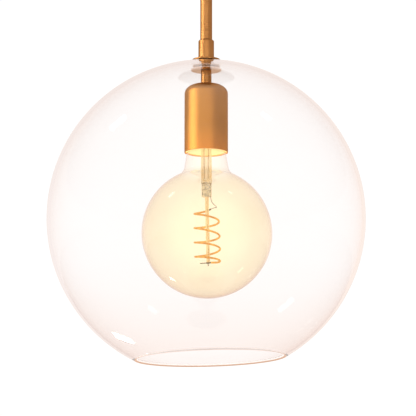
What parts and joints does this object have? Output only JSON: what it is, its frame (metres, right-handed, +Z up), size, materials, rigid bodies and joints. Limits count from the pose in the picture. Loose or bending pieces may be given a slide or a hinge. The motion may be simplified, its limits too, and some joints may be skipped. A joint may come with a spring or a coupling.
{
  "type": "pendant ceiling light",
  "caption": "Clear glass globe pendant, open below, around a lit amber globe bulb in a brass cup, hung on a brass rod from a round ceiling canopy.",
  "frame": {"origin": "middle of the canopy's rim, on the ceiling plane that it is screwed up against", "axes": "+Z up into the ceiling; -Z down the rod; -Y towards the viewer; X along the mounting crossbar"},
  "size_m": [0.305, 0.305, 0.4803],
  "materials": {
    "polished_brass": "lightly brushed, lacquered",
    "contact_brass": "plain stamped",
    "zinc_steel": "zinc plated",
    "green_screw": "green",
    "globe_glass": "clear, fire polished, faintly warm",
    "bulb_glass": "clear amber",
    "stem_glass": "clear",
    "clear_gasket": "translucent silicone",
    "nylon": "natural nylon",
    "porcelain": "glazed white porcelain",
    "black_glass": "black vitreous insulator",
    "solder": "soft solder",
    "filament": "glowing amber filament",
    "lead_wire": "oxidised wire",
    "circuit_board": "green board",
    "capacitor": "dark sleeve",
    "live_insulation": "black",
    "neutral_insulation": "white",
    "ground_insulation": "green"
  },
  "bodies": {
    "canopy": {"canopy_shell": "polished_brass", "mounting_crossbar": "zinc_steel", "ground_screw": "green_screw", "canopy_stud_left": "zinc_steel", "canopy_stud_right": "zinc_steel", "stud_locknut_left": "zinc_steel", "stud_locknut_right": "zinc_steel", "canopy_cap_nut_left": "polished_brass", "canopy_cap_nut_right": "polished_brass"},
    "swivel_ring": {"swivel_seat": "nylon"},
    "hanging_light": {"swivel_ball": "polished_brass", "rod_locknut": "zinc_steel", "suspension_rod": "polished_brass", "rod_coupling": "polished_brass", "upper_washer": "polished_brass", "centring_cone": "polished_brass", "upper_gasket": "clear_gasket", "glass_globe": "globe_glass", "lower_gasket": "clear_gasket", "lower_washer": "polished_brass", "spacer_sleeve": "polished_brass", "threaded_nipple": "zinc_steel", "socket_cup": "polished_brass", "lampholder_bracket": "zinc_steel", "bracket_lock_washer": "zinc_steel", "bracket_locknut": "zinc_steel", "bracket_screw_left": "zinc_steel", "bracket_screw_right": "zinc_steel", "lampholder_body": "porcelain", "screw_shell": "contact_brass", "centre_contact": "contact_brass", "live_terminal_screw": "contact_brass", "neutral_terminal_screw": "zinc_steel", "live_wire": "live_insulation", "neutral_wire": "neutral_insulation", "ground_wire": "ground_insulation"},
    "bulb": {"bulb_glass": "bulb_glass", "bulb_cap": "zinc_steel", "cap_insulator": "black_glass", "cap_contact": "solder", "driver_board": "circuit_board", "driver_capacitor": "capacitor", "mount_stem": "stem_glass", "support_rod": "stem_glass", "filament": "filament", "filament_clip_top": "lead_wire", "filament_clip_bottom": "lead_wire", "lead_wire_top": "lead_wire", "lead_wire_bottom": "lead_wire", "base_lead_live": "lead_wire", "base_lead_neutral": "lead_wire"}
  },
  "joints": [
    {"name": "swivel_turn", "type": "hinge", "parent": "canopy", "child": "swivel_ring", "pos_m": [0, 0, -0.0245], "axis": [0, 0, 1], "range_deg": [-170, 170]},
    {"name": "swivel_tilt", "type": "hinge", "parent": "swivel_ring", "child": "hanging_light", "pos_m": [0, 0, -0.0245], "axis": [1, 0, 0], "range_deg": [-22, 22]},
    {"name": "bulb_out", "type": "slide", "parent": "hanging_light", "child": "bulb", "axis": [0, 0, -1], "range_m": [0, 0.24]}
  ]
}
